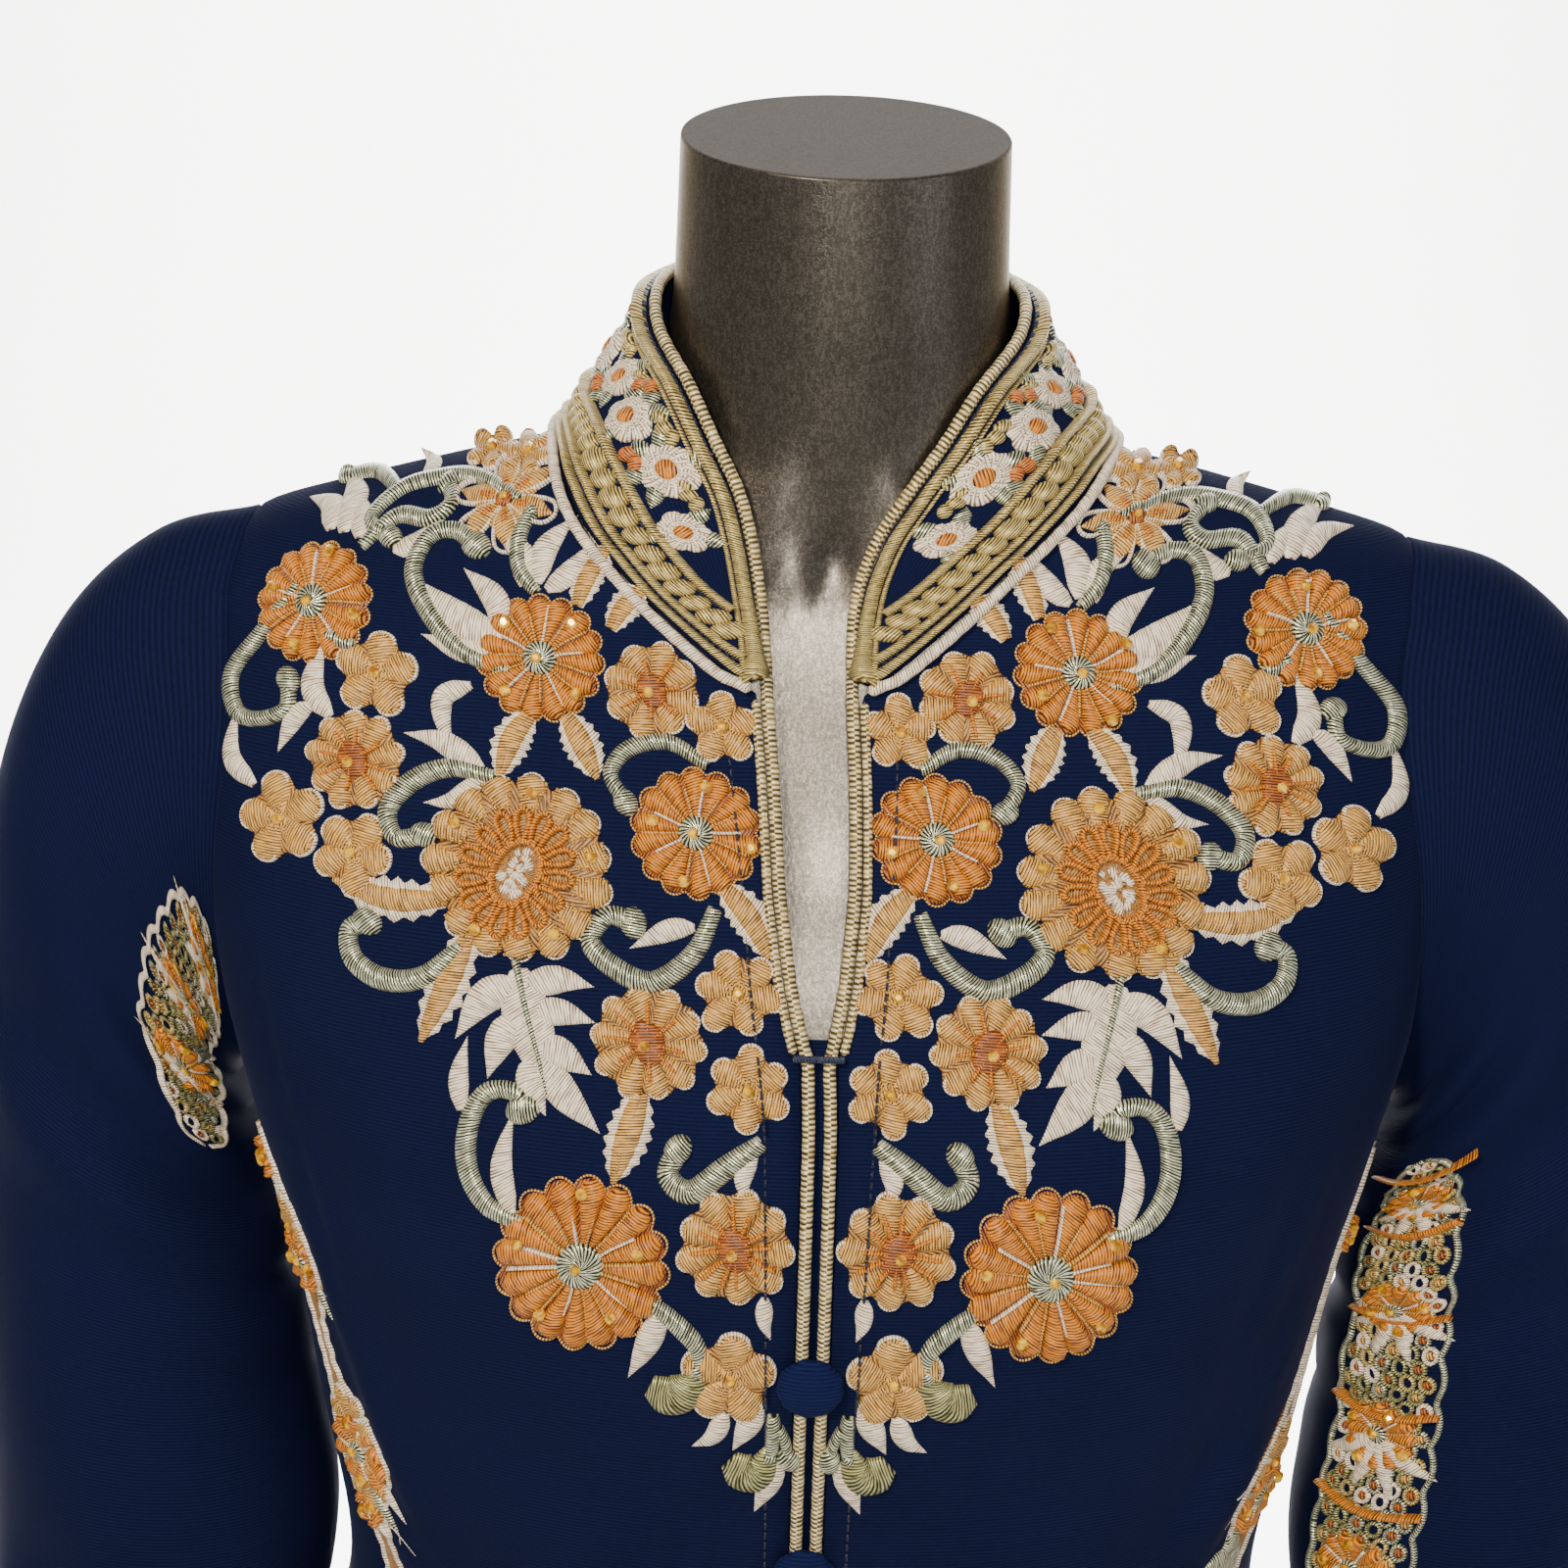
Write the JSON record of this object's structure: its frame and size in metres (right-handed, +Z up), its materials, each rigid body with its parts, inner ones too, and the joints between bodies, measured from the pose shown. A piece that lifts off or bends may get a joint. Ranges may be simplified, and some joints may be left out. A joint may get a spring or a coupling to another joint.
{
  "type": "maxi gown on a limbless dress form",
  "caption": "Full-length navy gown with an embroidered yoke, standing collar, slit, placket and long sleeves, worn by a limbless dress form on a round-based pole.",
  "frame": {"origin": "on the floor, at the middle of the whole object's footprint, under the pole", "axes": "+Z up the pole, -Y out of the gown's front, +X to the viewer's right"},
  "size_m": [0.8346, 0.7556, 1.5883],
  "materials": {
    "navy_cloth": "fine navy crepe, matt",
    "gold_cord": "wrapped gold satin cord",
    "orange_thread": "orange satin-stitch embroidery",
    "peach_thread": "peach satin-stitch embroidery",
    "form_paint": "warm grey metallic paint, satin",
    "stand_steel": "brushed"
  },
  "bodies": {
    "root": {"front_left": "navy_cloth", "front_right": "navy_cloth", "back": "navy_cloth", "sleeve_left": "navy_cloth", "sleeve_right": "navy_cloth", "collar": "navy_cloth", "underlap": "navy_cloth", "bar_tack": "navy_cloth", "button_1": "navy_cloth", "button_2": "navy_cloth", "button_3": "navy_cloth", "button_4": "navy_cloth", "edge_cord_left": "gold_cord", "edge_cord_right": "gold_cord", "neckline_cord": "gold_cord", "orange_shoulder_left": "orange_thread", "orange_chest_left": "orange_thread", "orange_centre_left": "orange_thread", "orange_low_left": "orange_thread", "orange_shoulder_right": "orange_thread", "orange_chest_right": "orange_thread", "orange_centre_right": "orange_thread", "orange_low_right": "orange_thread", "border_left": "peach_thread", "border_right": "peach_thread", "mandala_left": "peach_thread", "peach_outer_left": "peach_thread", "peach_inner_left": "peach_thread", "peach_low_left": "peach_thread", "mandala_right": "peach_thread", "peach_outer_right": "peach_thread", "peach_inner_right": "peach_thread", "peach_low_right": "peach_thread", "dress_form": "form_paint", "stand_socket": "stand_steel", "stand_pole": "stand_steel", "stand_hub": "stand_steel", "stand_base": "stand_steel"}
  },
  "joints": []
}
